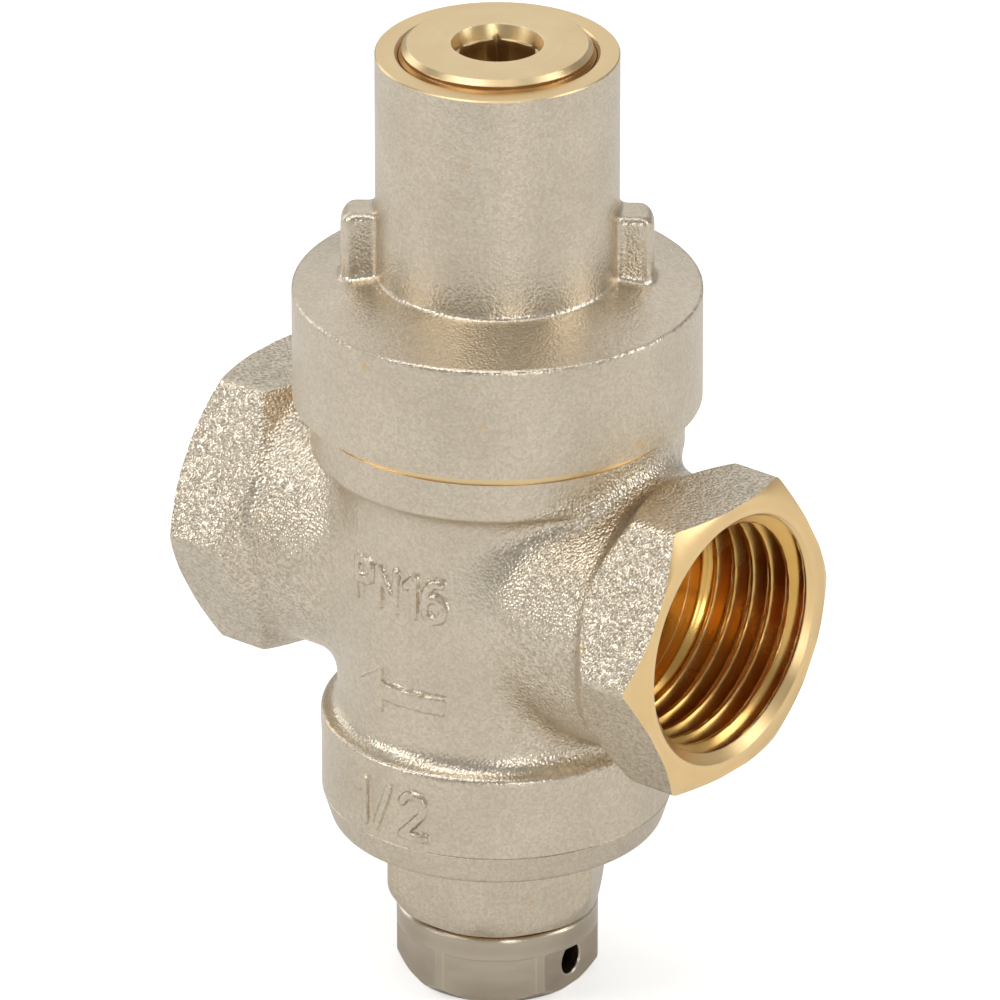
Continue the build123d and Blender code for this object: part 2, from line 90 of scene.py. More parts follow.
# --- Sizes read from the frame ------------------------------------------------------------------
EDGE_BREAK = 0.4            # chamfer between the side of the bonnet's skirt and its sloping top
BODY_LOW, BODY_HIGH = span("body")
BONNET_LOW, BONNET_HIGH = span("bonnet")
COVER_LOW, COVER_HIGH = span("bottom_cover")
REACH = BODY_HIGH.x
SEAM = BODY_LOW.z
NECK_TOP = BODY_HIGH.z
COLLAR_R = BODY_HIGH.y
CHAMBER_R = radius_at("body", SEAM)
PIPE_MINOR_R = MOUNTS["inlet_thread"]["dims"]["r_mm"]
SKIRT_R = min(BONNET_HIGH.x, BONNET_HIGH.y)
LAND_TOP = BONNET_LOW.z
TOWER_TOP = BONNET_HIGH.z
TOWER_R = radius_at("bonnet", TOWER_TOP)
TOWER_FOOT = levels_at("bonnet", TOWER_R)[0]
SKIRT_TOP = levels_at("bonnet", SKIRT_R)[1] + EDGE_BREAK
SPRING_LOW, SPRING_HIGH = span("main_spring")
COVER_BOTTOM = COVER_LOW.z
COVER_TOP = COVER_HIGH.z
NUT_TOP = span("adjusting_nut")[1].z

# --- Cast shapes that the simple CAD solids leave out, mm ----------------------------------------
STEP = 0.18      # cell of the grid that a casting is sampled on
BARREL_R = 12.9
BARREL_EDGE = 0.2
BARREL_END = 1.0            # how far the barrel runs down into the lower chamber
COLLAR_BOTTOM = 10.4
COLLAR_TOP = 13.6
COLLAR_EDGE = 0.35
COLLAR_FILLET = 3.2
CHAMBER_TOP = -13.05
CHAMBER_EDGE = 0.25
CHAMBER_FILLET = 2.0
HEX_FLATS = 23.3
HEX_EDGE = 0.45
HEX_INNER = 19.0            # a port's hexagon ends here, and slopes down to its neck
SHOULDER_END = 16.8
SHOULDER_EDGE = 0.2
NECK_R = 11.4
NECK_FILLET = 0.5
ARM_FILLET = 1.9
MARK_RELIEF = 0.38
MARK_EDGE = 0.15
MARK_FILLET = 0.2
MARK_ROUND = 0.3
SKIRT_EDGE = 0.2
SKIRT_DROP = 0.05           # the sloping top, carried on to the side, ends this far below SKIRT_TOP
SKIRT_END = 3.0             # how far the skirt stands above the tower's foot before it is sloped
TOWER_END = 1.0             # how far the tower stands proud before its rim is faced
TOWER_EDGE = 0.1
TOWER_FILLET = 0.3
LUG_ANGLES = (math.radians(36.7), math.radians(216.7))
LUG_REACH = 12.65
LUG_TOP = 30.9
LUG_WIDTH = 3.6
LUG_ROUND = 1.4
LUG_EDGE = 0.7
LUG_FILLET = 0.6
LUG_END = 1.0               # how far a lug runs down into the skirt
COVER_RIM_BOTTOM = -22.7
COVER_RIM_R = 13.36
COVER_RIM_EDGE = 0.3
COVER_TAPER_EDGE = 0.6
COVER_FLATS = 16.7
COVER_HEX_EDGE = 0.35
COVER_HEX_BOTTOM = -28.2
COVER_POINT_EDGE = 0.5
COVER_END_R = 8.35
COVER_FILLET = 0.8
COVER_END = 0.6             # how far the cover's neck stands proud before it is faced

# --- Machined shapes, mm -------------------------------------------------------------------------
LAND_R = 14.85
PORT_FACE_R = 11.75
PORT_FACE_SLOPE = 1.0 / 1.7
PORT_MOUTH_R = 10.45
BORE_FLOOR = 12.4           # distance along the port axis at which a port's bore starts
PIPE_PITCH = 1.814          # G1/2, ISO 228
PIPE_THREAD_DEPTH = 0.640327 * PIPE_PITCH
PIPE_FLANK = math.radians(27.5)
PIPE_THREAD_LENGTH = 10.6
PIPE_RUN_IN = 1.4
PASSAGE_R = 4.0
INLET_PASSAGE_HEIGHT = -5.2
OUTLET_PASSAGE_HEIGHT = 5.0
CASE_PITCH = 1.5            # threads between the body, the bonnet and the cover
CASE_RIDGES = 4
CASE_THREAD_DEPTH = 0.9
CASE_FLANK = math.radians(30)
NECK_THREAD_BOTTOM = 15.5
NECK_ROOT_R = 13.1
NECK_BORE_R = 11.5
COVER_THREAD_BOTTOM = -18.3
COVER_BORE_R = 11.2         # crests of the body's lower thread
SPIGOT_ROOT_R = 11.1
PLUG_PITCH = 1.0
PLUG_THREAD_DEPTH = 0.6
PLUG_THREAD_BOTTOM = -29.6
PLUG_BORE_R = 5.5
SPRING_BORE_R = 7.9
BONNET_BORE_R = 13.2        # crests of the bonnet's thread
BONNET_CEILING = 22.5
NUT_WALL_R = 7.3
NUT_SHADE_TOP = 44.85   # the nut's outer wall has painted shade below this level, in the gap inside the bonnet's rim
SOCKET_DEPTH = 5.0
PILOT_R = 3.09
CLEAR_R = 20.0              # outside every casting
PAST = 0.5                  # how far a tool runs on past what it cuts
SPARE = 0.8                 # what a casting has too much of where it is faced
CUT = 4.0                   # thickness of a facing tool
OVERLAP = 2.0               # how far two cast shapes run into each other

SEGMENTS = 144
SHARP_ANGLE = math.radians(32)
NICKEL, BRASS, BRASS_INSIDE_SHADED, BRASS_UPRIGHT = 0, 1, 2, 3


# --- Distance fields -----------------------------------------------------------------------------
def blend_union(a, b, size):
    """Smooth union of two distance fields, with a fillet of about the given size."""
    share = np.maximum(size - np.abs(a - b), 0) / size
    return np.minimum(a, b) - share * share * size / 4


def blend_cut(a, b, size):
    """Smooth intersection of two distance fields, with a rounded edge."""
    return -blend_union(-a, -b, size)


def column(radius, height, reach, bottom, top, edge):
    """Upright round column with its rims rounded by edge."""
    out = radius - (reach - edge)
    up = np.abs(height - (bottom + top) / 2) - (top - bottom) / 2 + edge
    outside = np.hypot(np.maximum(out, 0), np.maximum(up, 0))
    return outside + np.minimum(np.maximum(out, up), 0) - edge


def hexagon(u, v, flats, edge):
    """Hexagon with two flats facing +v and -v, and rounded corners."""
    slant = np.abs(u) * math.sqrt(3) / 2
    sides = blend_cut(slant + v / 2, slant - v / 2, edge)
    return blend_cut(sides, np.abs(v), edge) - flats / 2


def slope(along, across, start, end):
    """Distance outside a line from start to end, each (along, across), seen from inside."""
    run, rise = end[0] - start[0], end[1] - start[1]
    length = math.hypot(run, rise)
    return ((across - start[1]) * run - (along - start[0]) * rise) / length


def grid(low, high):
    """Coordinates of a regular grid as three arrays that broadcast together."""
    axes = [np.arange(a, b + STEP, STEP, dtype=np.float32) for a, b in zip(low, high)]
    return axes[0][:, None, None], axes[1][None, :, None], axes[2][None, None, :]


def surface_net(field, axes):
    """Vertices and quads of the zero surface of a sampled field, one vertex a cell."""
    inside = field < 0
    corners = [(i, j, k) for i in (0, 1) for j in (0, 1) for k in (0, 1)]
    cells = [n - 1 for n in field.shape]

    def shifted(array, corner):
        return array[tuple(slice(c, c + n) for c, n in zip(corner, cells))]

    count = sum(shifted(inside, c).astype(np.uint8) for c in corners)
    active = np.nonzero((count > 0) & (count < 8))
    number = np.full(cells, -1, np.int32)
    number[active] = np.arange(len(active[0]))
    values = {c: shifted(field, c)[active] for c in corners}
    total = np.zeros((len(active[0]), 3), np.float32)
    crossings = np.zeros(len(active[0]), np.float32)
    for a in corners:
        for axis in range(3):
            if a[axis]:
                continue
            b = tuple(1 if n == axis else c for n, c in enumerate(a))
            crossed = (values[a] < 0) != (values[b] < 0)
            gap = np.where(crossed, values[a] - values[b], 1)
            point = np.tile(np.array(a, np.float32), (len(gap), 1))
            point[:, axis] = values[a] / gap
            total += point * crossed[:, None]
            crossings += crossed
    origin = np.array([axis.ravel()[0] for axis in axes], np.float32)
    vertices = (np.stack(active, axis=1) + total / crossings[:, None]) * STEP + origin
    quads = []
    for axis in range(3):
        after = [slice(None)] * 3
        before = [slice(None)] * 3
        after[axis], before[axis] = slice(1, None), slice(None, -1)
        crossed = inside[tuple(after)] != inside[tuple(before)]
        edges = np.array(np.nonzero(crossed))
        first_inside = inside[tuple(before)][tuple(edges)]
        u, v = [n for n in range(3) if n != axis]
        around = []
        for du, dv in ((1, 1), (0, 1), (0, 0), (1, 0)):
            cell = edges.copy()
            cell[u] -= du
            cell[v] -= dv
            around.append(number[tuple(cell)])
        quad = np.stack(around, axis=1)
        flip = first_inside != (axis != 1)
        quad[flip] = quad[flip][:, ::-1]
        quads.append(quad)
    return vertices, np.concatenate(quads)


def new_object(name, vertices, faces, material_index=NICKEL, materials=None):
    """Mesh object in the row frame from millimetre vertices."""
    mesh = bpy.data.meshes.new(name)
    vertices = np.asarray(vertices, np.float64) * MM + np.array(PORT_AXIS)
    mesh.from_pydata(vertices.tolist(), [], [list(map(int, face)) for face in faces])
    for material in materials or CASTING_MATERIALS:
        mesh.materials.append(material)
    mesh.polygons.foreach_set("material_index", [material_index] * len(mesh.polygons))
    mesh.update()
    piece = bpy.data.objects.new(name, mesh)
    bpy.context.scene.collection.objects.link(piece)
    return piece


# --- Machined surfaces: solids of revolution -----------------------------------------------------
def lathe(name, corners, turn=None, ring=False, material_index=BRASS_UPRIGHT):
    """Closed solid of revolution about the vertical axis, turned onto another axis if asked.

    corners are (radius, height). An open outline starts and ends on the axis; a ring's
    outline closes on itself.
    """
    vertices, rows = [], []
    for radius, height in corners:
        if radius == 0:
            rows.append([len(vertices)] * SEGMENTS)
            vertices.append((0.0, 0.0, height))
            continue
        rows.append(list(range(len(vertices), len(vertices) + SEGMENTS)))
        for index in range(SEGMENTS):
            angle = math.tau * index / SEGMENTS
            vertices.append((radius * math.cos(angle), radius * math.sin(angle), height))
    pairs = list(zip(rows, rows[1:] + rows[:1])) if ring else list(zip(rows, rows[1:]))
    faces = []
    for low, high in pairs:
        for index in range(SEGMENTS):
            after = (index + 1) % SEGMENTS
            loop = (low[index], low[after], high[after], high[index])
            faces.append(list(dict.fromkeys(loop)))
    if turn is not None:
        vertices = [turn @ Vector(vertex) for vertex in vertices]
    piece = new_object(name, [tuple(vertex) for vertex in vertices], faces, material_index)
    face_outwards(piece)
    return piece


def face_outwards(piece):
    """Point every face of a closed mesh outwards."""
    shape = bmesh.new()
    shape.from_mesh(piece.data)
    bmesh.ops.recalc_face_normals(shape, faces=shape.faces)
    shape.to_mesh(piece.data)
    shape.free()


def sleeve(name, points, material_index=NICKEL, materials=None):
    """Closed mesh through rows of points, each row a loop; the end loops are capped."""
    rows, around = points.shape[:2]
    number = np.arange(rows * around).reshape(rows, around)
    after = np.roll(number, -1, axis=1)
    quads = np.stack([number[:-1], after[:-1], after[1:], number[1:]], axis=2)
    faces = quads.reshape(-1, 4).tolist() + [number[0].tolist(), number[-1].tolist()]
    piece = new_object(name, points.reshape(-1, 3), faces, material_index, materials)
    face_outwards(piece)
    return piece


def towards_x(sign):
    """Rotation that lays +Z down onto +X or -X."""
    return Matrix.Rotation(sign * math.pi / 2, 4, "Y")


def ridges(root, start, pitch=CASE_PITCH, depth=CASE_THREAD_DEPTH):
    """(radius, height) corners of a row of thread ridges, upwards from start."""
    crest = root + depth
    flat = pitch / 2 - (crest - root) * math.tan(CASE_FLANK)
    corners = []
    for index in range(CASE_RIDGES):
        base = start + index * pitch
        corners.append((root, base + flat / 2))
        corners.append((crest, base + pitch / 2 - flat / 2))
        corners.append((crest, base + pitch / 2 + flat / 2))
        corners.append((root, base + pitch - flat / 2))
    return corners


def combine(piece, tool, operation="DIFFERENCE"):
    """Cut a tool out of a piece, or join it on, and discard the tool."""
    change = piece.modifiers.new(tool.name, "BOOLEAN")
    change.object = tool
    change.operation = operation
    change.solver = "MANIFOLD"
    evaluated = piece.evaluated_get(bpy.context.evaluated_depsgraph_get())
    mesh = bpy.data.meshes.new_from_object(evaluated)
    piece.modifiers.clear()
    old = piece.data
    piece.data = mesh
    bpy.data.meshes.remove(old)
    bpy.data.objects.remove(tool)


def shade(piece):
    """Smooth shading, broken at sharp edges."""
    shape = bmesh.new()
    shape.from_mesh(piece.data)
    bmesh.ops.dissolve_degenerate(shape, dist=2 * TINY, edges=shape.edges)
    for face in shape.faces:
        face.smooth = True
    for edge in shape.edges:
        edge.smooth = len(edge.link_faces) != 2 or edge.calc_face_angle(0) < SHARP_ANGLE
    shape.to_mesh(piece.data)
    shape.free()


def finish_casting(piece, body, node):
    """Shade a finished casting and put it in its place."""
    shade(piece)
    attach(piece, body)
    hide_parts(node)
    return piece


def pipe_thread(name, sign):
    """Tool that cuts one port: a smooth bore, then a right-hand helical pipe thread."""
    rounding = 0.03 * PIPE_PITCH
    row_step = 0.06
    rows = np.arange(BORE_FLOOR, REACH + 10 * row_step, row_step)
    turns = np.arange(SEGMENTS) / SEGMENTS
    phase = (rows[None, :] / PIPE_PITCH - turns[:, None]) % 1
    flank = (1 - np.abs(2 * phase - 1)) * PIPE_PITCH / 2 / math.tan(PIPE_FLANK)
    crest_cut = 0.16 * PIPE_PITCH
    cut = blend_cut(blend_union(flank - crest_cut, PIPE_THREAD_DEPTH, rounding), 0, rounding)
    share = (cut - cut.min()) / (cut.max() - cut.min())
    run_in = np.clip((rows - REACH + PIPE_THREAD_LENGTH) / PIPE_RUN_IN, 0, 1)
    radius = PIPE_MINOR_R + share * PIPE_THREAD_DEPTH * run_in[None, :]
    angle = math.tau * turns[:, None]
    along = np.broadcast_to(rows[None, :], radius.shape)
    points = np.stack([radius * np.cos(angle), radius * np.sin(angle), along], axis=2)
    turn = np.array(towards_x(sign).to_3x3())
    return sleeve(name, points.transpose(1, 0, 2) @ turn.T, BRASS_INSIDE_SHADED)


# --- Cast marks ----------------------------------------------------------------------------------
def arc(cx, cy, rx, ry, start, end):
    """Points of an elliptical arc between two angles in degrees."""
    return [(cx + rx * math.cos(math.radians(a)), cy + ry * math.sin(math.radians(a)))
            for a in np.linspace(start, end, 9)]


GLYPHS = {
    "P": [[(0, 0), (0, 1), (0.3, 1)] + arc(0.3, 0.74, 0.26, 0.26, 90, -90) + [(0, 0.48)]],
    "N": [[(0, 0), (0, 1), (0.56, 0), (0.56, 1)]],
    "1": [[(0.05, 0.76), (0.28, 1), (0.28, 0)]],
    "6": [arc(0.28, 0.3, 0.27, 0.3, 0, 360), [(0.02, 0.34)] + arc(0.36, 0.4, 0.34, 0.6, 175, 75)],
    "2": [arc(0.28, 0.72, 0.27, 0.28, 165, -35) + [(0.0, 0.0), (0.56, 0.0)]],
    "/": [[(0.0, 0.0), (0.36, 1.0)]],
}
GLYPH_WIDTHS = {"P": 0.56, "N": 0.56, "1": 0.3, "6": 0.56, "2": 0.56, "/": 0.36}


def mark_strokes(text, centre, height, gap):
    """Strokes of a line of text in the plane of the front, centred, in millimetres."""
    total = sum(GLYPH_WIDTHS[letter] for letter in text) + gap * (len(text) - 1)
    left = centre[0] - total * height / 2
    bottom = centre[1] - height / 2
    strokes = []
    for letter in text:
        for line in GLYPHS[letter]:
            strokes.append([(left + u * height, bottom + v * height) for u, v in line])
        left += (GLYPH_WIDTHS[letter] + gap) * height
    return strokes


def stroke_distance(x, z, strokes, half_width):
    """Distance field, in the plane of the front, of lines of a given half width."""
    nearest = np.full(np.broadcast_shapes(x.shape, z.shape), 1e3, np.float32)
    for line in strokes:
        for (ax, az), (bx, bz) in zip(line, line[1:]):
            dx, dz = bx - ax, bz - az
            along = ((x - ax) * dx + (z - az) * dz) / (dx * dx + dz * dz + 1e-9)
            along = np.clip(along, 0, 1)
            nearest = np.minimum(nearest, np.hypot(x - ax - along * dx, z - az - along * dz))
    return nearest - half_width


def arrow_distance(x, z, height, length):
    """Distance field of a flow arrow that points to -X."""
    head_length, head_half_width, shaft_half_width = 2.9, 2.1, 0.78
    tip, tail = -length / 2, length / 2
    aside = np.abs(z - height)
    head = slope(x, aside, (tip, 0.0), (tip + head_length, head_half_width))
    head = blend_cut(head, x - (tip + head_length), MARK_ROUND)
    shaft_start = tip + head_length - PAST
    middle = (shaft_start + tail) / 2
    shaft = np.maximum(aside - shaft_half_width, np.abs(x - middle) - (tail - shaft_start) / 2)
    return np.minimum(head, shaft)


def front_marks(x, y, z, skin):
    """Raised marks that follow the casting's skin on its -Y side."""
    strokes = mark_strokes("PN16", centre=(0.0, 1.9), height=3.3, gap=0.24)
    strokes += mark_strokes("1/2", centre=(0.1, -16.9), height=3.7, gap=0.32)
    flat = stroke_distance(x, z, strokes, half_width=0.33)
    flat = np.minimum(flat, arrow_distance(x, z, height=-7.3, length=8.7))
    raised = blend_cut(skin - MARK_RELIEF, flat, MARK_EDGE)
    return np.maximum(raised, y + BARREL_R / 2)


# --- Castings ------------------------------------------------------------------------------------
def body_field(x, y, z):
    """Outside of the body: barrel, collar, lower chamber, two port arms and the marks."""
    radius = np.hypot(x, y)
    barrel = column(radius, z, BARREL_R, CHAMBER_TOP - BARREL_END, COLLAR_TOP, BARREL_EDGE)
    collar = column(radius, z, COLLAR_R, COLLAR_BOTTOM, LAND_TOP + OVERLAP, COLLAR_EDGE)
    chamber = column(radius, z, CHAMBER_R, SEAM - OVERLAP, CHAMBER_TOP, CHAMBER_EDGE)
    trunk = blend_union(barrel, collar, COLLAR_FILLET)
    trunk = blend_union(trunk, chamber, CHAMBER_FILLET)
    away = np.abs(x)
    about = np.hypot(y, z)
    corner = HEX_FLATS / math.sqrt(3)
    head = hexagon(y, z, HEX_FLATS, HEX_EDGE)
    shoulder = -slope(away, about, (HEX_INNER, corner), (SHOULDER_END, NECK_R))
    head = blend_cut(head, shoulder, SHOULDER_EDGE)
    neck = np.maximum(about - NECK_R, away - HEX_INNER)
    arm = np.maximum(blend_union(head, neck, NECK_FILLET), away - REACH - SPARE)
    skin = blend_union(trunk, arm, ARM_FILLET)
    return blend_union(skin, front_marks(x, y, z, skin), MARK_FILLET)


def bonnet_field(x, y, z):
    """Outside of the bonnet: skirt with a sloping top, tower and two spanner lugs."""
    radius = np.hypot(x, y)
    skirt = column(radius, z, SKIRT_R, LAND_TOP - OVERLAP, TOWER_FOOT + SKIRT_END, SKIRT_EDGE)
    top = -slope(radius, z, (SKIRT_R, SKIRT_TOP - SKIRT_DROP), (TOWER_R, TOWER_FOOT))
    skirt = blend_cut(skirt, top, SKIRT_EDGE)
    tower = column(radius, z, TOWER_R, LAND_TOP, TOWER_TOP + TOWER_END, TOWER_EDGE)
    shell = blend_union(skirt, tower, TOWER_FILLET)
    for angle in LUG_ANGLES:
        c, s = math.cos(angle), math.sin(angle)
        out = x * c + y * s
        side = np.abs(y * c - x * s)
        past, beside, above = [np.maximum(gap + LUG_ROUND, 0) for gap in
                               (out - LUG_REACH, side - LUG_WIDTH / 2, z - LUG_TOP)]
        block = blend_cut(np.hypot(past, beside), np.hypot(past, above), LUG_EDGE) - LUG_ROUND
        block = np.maximum(block, np.maximum(TOWER_R - OVERLAP - out, SKIRT_TOP - LUG_END - z))
        shell = blend_union(shell, block, LUG_FILLET)
    return shell


def cover_field(x, y, z):
    """Outside of the bottom cover: tapered rim and soft hexagon neck."""
    radius = np.hypot(x, y)
    rim = column(radius, z, CHAMBER_R + PAST, COVER_RIM_BOTTOM, SEAM + OVERLAP, COVER_RIM_EDGE)
    taper = -slope(z, radius, (SEAM, CHAMBER_R), (COVER_RIM_BOTTOM, COVER_RIM_R))
    rim = blend_cut(rim, taper, COVER_TAPER_EDGE)
    corner = COVER_FLATS / math.sqrt(3)
    neck = hexagon(x, y, COVER_FLATS, COVER_HEX_EDGE)
    point = -slope(z, radius, (COVER_HEX_BOTTOM, corner), (COVER_BOTTOM, COVER_END_R))
    neck = blend_cut(neck, point, COVER_POINT_EDGE)
    neck = np.maximum(neck, np.maximum(z - SEAM, COVER_BOTTOM - COVER_END - z))
    return blend_union(rim, neck, COVER_FILLET)


def cast(name, field, low, high):
    """Mesh of a casting's outside from its distance field."""
    axes = grid(low, high)
    samples = field(*axes).astype(np.float32)
    for axis in range(3):
        ends = np.moveaxis(samples, axis, 0)
        ends[[0, -1]] = STEP
    vertices, quads = surface_net(samples, axes)
    return new_object(name, vertices, quads)


# --- Materials ----------------------------------------------------------------------------------
# Sizes of surface features, in metres.
PEBBLE = 0.00026            # pebbles of the blasted casting
SPECKLE = 0.0002            # cells of lighter and darker nickel
FINE_GRAIN = 0.00016
WAVE = 0.001                # slow waviness of the cast skin
PATCH = 0.005               # duller patches of nickel
NICKEL_STAIN = 0.0014       # small warm stains
TURNED_STAIN = 0.004        # slow change of tone over turned metal
SOFT_MOTTLE = 0.0016        # two tones of rubber, plastic and fibre
CAST_BUMP = 0.000064        # height of the cast skin
ARM_START, ARM_FULL = 0.007, 0.012      # the coarse skin comes in over this distance along an arm
ARM_INSIDE, ARM_OUTSIDE = 0.0136, 0.0148    # and fades over this distance from the port axis
SMOOTH_SHARE = 0.4          # how much of the coarse skin is left away from the arms
SPECKLE_TONE = 0.34         # change of tone from one cell to the next
GRAIN_SHARE = 0.5           # height of the fine grain beside the pebbles
WAVE_SHARE = 0.3            # height of the waves beside the pebbles
BAND_RATIO = 9              # bands of tone are this many times wider than a turning mark
WORN_AND_LIT_EDGE = 0.86, 0.995     # an edge whose normal turns this much is pale, partly wear and partly painted highlight; one that turns this little is plain


def new_material(name):
    """Empty node material with a Principled shader; returns (material, tree, shader)."""
    material = bpy.data.materials.new(name)
    material.use_nodes = True
    tree = material.node_tree
    shader = tree.nodes["Principled BSDF"]
    return material, tree, shader


def add(tree, kind, inputs=None, **settings):
    """Add a node, set its properties and its inputs, which are values or sockets."""
    node = tree.nodes.new(kind)
    for key, value in settings.items():
        setattr(node, key, value)
    for key, value in (inputs or {}).items():
        if isinstance(value, bpy.types.NodeSocket):
            tree.links.new(value, node.inputs[key])
        else:
            node.inputs[key].default_value = value
    return node


def place(tree):
    """Position on the object in the row frame, in metres."""
    return add(tree, "ShaderNodeTexCoord").outputs["Object"]


def noise(tree, size, detail=2.0, position=None, roughness=0.5):
    """Noise whose features are about size metres across, as a value socket."""
    position = position or place(tree)
    inputs = {"Vector": position, "Scale": 1 / size, "Detail": detail, "Roughness": roughness}
    return add(tree, "ShaderNodeTexNoise", inputs).outputs["Fac"]


def spread(tree, value, low, high, start=0.0, end=1.0):
    """Map a value from one range onto another, clamped."""
    inputs = {"Value": value, "From Min": start, "From Max": end, "To Min": low, "To Max": high}
    return add(tree, "ShaderNodeMapRange", inputs).outputs["Result"]


def calculate(tree, operation, first, second=0.0):
    """Result of one maths operation."""
    return add(tree, "ShaderNodeMath", {0: first, 1: second}, operation=operation).outputs[0]


def from_port_axis(tree):
    """Position measured from the middle of the port axis, in metres."""
    return add(tree, "ShaderNodeVectorMath", {0: place(tree), 1: tuple(-PORT_AXIS)},
               operation="ADD").outputs["Vector"]


def distance(tree, first, second):
    """Length of the two sides of a right angle."""
    squares = [calculate(tree, "MULTIPLY", value, value) for value in (first, second)]
    return calculate(tree, "SQRT", calculate(tree, "ADD", *squares))


def mix_colour(tree, share, first, second):
    """Blend of two colours."""
    node = add(tree, "ShaderNodeMix", data_type="RGBA")
    for socket, value in ((node.inputs[0], share), (node.inputs[6], first), (node.inputs[7], second)):
        if isinstance(value, bpy.types.NodeSocket):
            tree.links.new(value, socket)
        else:
            socket.default_value = value
    return node.outputs[2]


def edge_wear_and_highlight(tree, radius):
    """Share from 0 on a face to 1 on a pale edge, from how far a bevelled normal turns; the pale edge
    is partly wear, partly painted highlight.
    """
    bevel = add(tree, "ShaderNodeBevel", {"Radius": radius}, samples=4).outputs["Normal"]
    plain = add(tree, "ShaderNodeNewGeometry").outputs["Normal"]
    dot = add(tree, "ShaderNodeVectorMath", {0: bevel, 1: plain}, operation="DOT_PRODUCT")
    worn_and_lit, plain_face = WORN_AND_LIT_EDGE
    return spread(tree, dot.outputs["Value"], 1.0, 0.0, start=worn_and_lit, end=plain_face)


def colour(red, green, blue):
    """Linear RGBA from 0 to 255 display values."""
    linear = [(c / 255 / 12.92 if c < 10.3 else ((c / 255 + 0.055) / 1.055) ** 2.4)
              for c in (red, green, blue)]
    return (*linear, 1.0)


def cast_nickel():
    """Nickel over a blasted casting: satin and pebbly, coarser on the port arms."""
    material, tree, shader = new_material("cast_nickel")
    parts = add(tree, "ShaderNodeSeparateXYZ", {"Vector": from_port_axis(tree)}).outputs
    away = calculate(tree, "ABSOLUTE", parts["X"])
    out = spread(tree, away, 0.0, 1.0, start=ARM_START, end=ARM_FULL)
    about = distance(tree, parts["Y"], parts["Z"])
    about = spread(tree, about, 1.0, 0.0, start=ARM_INSIDE, end=ARM_OUTSIDE)
    coarse = spread(tree, calculate(tree, "MULTIPLY", out, about), SMOOTH_SHARE, 1.0)
    cells = add(tree, "ShaderNodeTexVoronoi", {"Vector": place(tree), "Scale": 1 / PEBBLE})
    pebbles = spread(tree, cells.outputs["Distance"], 1.0, 0.0, start=0.0, end=0.8)
    grain = noise(tree, FINE_GRAIN, detail=1.0)
    tone = add(tree, "ShaderNodeTexVoronoi", {"Vector": place(tree), "Scale": 1 / SPECKLE})
    tone = add(tree, "ShaderNodeSeparateXYZ", {"Vector": tone.outputs["Color"]}).outputs["X"]
    tone = spread(tree, tone, -SPECKLE_TONE, SPECKLE_TONE)
    tone = calculate(tree, "ADD", calculate(tree, "MULTIPLY", tone, coarse), 0.5)
    base = mix_colour(tree, tone, colour(182, 168, 146), colour(248, 236, 216))
    patches = noise(tree, PATCH, detail=4.0)
    base = mix_colour(tree, spread(tree, patches, 0.0, 0.3, start=0.4, end=0.8), base,
                      colour(186, 172, 150))
    stains = spread(tree, noise(tree, NICKEL_STAIN, detail=3.0), 0.0, 0.5, start=0.68, end=0.76)
    base = mix_colour(tree, stains, base, colour(226, 186, 124))
    skin = calculate(tree, "ADD", calculate(tree, "MULTIPLY", grain, GRAIN_SHARE), pebbles)
    skin = calculate(tree, "MULTIPLY", skin, coarse)
    waves = calculate(tree, "MULTIPLY", noise(tree, WAVE, detail=2.0), WAVE_SHARE)
    bump = add(tree, "ShaderNodeBump", {"Height": calculate(tree, "ADD", skin, waves),
                                        "Distance": CAST_BUMP, "Strength": 1.0})
    tree.links.new(base, shader.inputs["Base Color"])
    tree.links.new(bump.outputs["Normal"], shader.inputs["Normal"])
    tree.links.new(spread(tree, coarse, 0.32, 0.28, start=0.4), shader.inputs["Roughness"])
    shader.inputs["Metallic"].default_value = 1.0
    return material


def turned_metal(name, light, dark, axis="Z", roughness=0.2, mark=0.00012, depth=0.000004,
                 bevel_radius=0.00012, wear_and_highlight=0.5):
    """Turned metal with fine rings about an axis, and a slight change of tone across them."""
    material, tree, shader = new_material(name)
    parts = add(tree, "ShaderNodeSeparateXYZ", {"Vector": from_port_axis(tree)}).outputs
    radius = distance(tree, *[parts[other] for other in "XYZ" if other != axis])
    track = add(tree, "ShaderNodeCombineXYZ", {"X": radius, "Y": parts[axis]}).outputs["Vector"]
    lines = noise(tree, mark, detail=3.0, position=track, roughness=0.7)
    bands = noise(tree, mark * BAND_RATIO, detail=2.0, position=track)
    stain = noise(tree, TURNED_STAIN, detail=4.0)
    tone = calculate(tree, "MULTIPLY", bands, stain)
    base = mix_colour(tree, spread(tree, tone, 0.0, 1.0, start=0.12, end=0.42), dark, light)
    bevel = add(tree, "ShaderNodeBevel", {"Radius": bevel_radius}, samples=4).outputs["Normal"]
    bump = add(tree, "ShaderNodeBump", {"Height": lines, "Distance": depth, "Strength": 1.0,
                                        "Normal": bevel})
    # Pale edges: partly wear, partly painted highlight.
    base = mix_colour(tree, calculate(tree, "MULTIPLY", edge_wear_and_highlight(tree, bevel_radius), wear_and_highlight), base,
                      colour(252, 244, 226))
    tree.links.new(base, shader.inputs["Base Color"])
    tree.links.new(bump.outputs["Normal"], shader.inputs["Normal"])
    rough = spread(tree, stain, roughness - 0.05, roughness + 0.08, start=0.3, end=0.7)
    tree.links.new(rough, shader.inputs["Roughness"])
    shader.inputs["Metallic"].default_value = 1.0
    return material


def paint_shade_below(material, level, depth):
    """Painted shade: darken a metal below a level, in millimetres from the port axis, over a depth."""
    tree = material.node_tree
    shader = tree.nodes["Principled BSDF"]
    base = shader.inputs["Base Color"].links[0].from_socket
    height = add(tree, "ShaderNodeSeparateXYZ", {"Vector": from_port_axis(tree)}).outputs["Z"]
    # The dark brown is painted shade, which grows over the depth below the level.
    share = spread(tree, height, 0.45, 0.0, start=(level - depth) * MM, end=level * MM)
    tree.links.new(mix_colour(tree, share, base, colour(104, 72, 34)), shader.inputs["Base Color"])
    return material


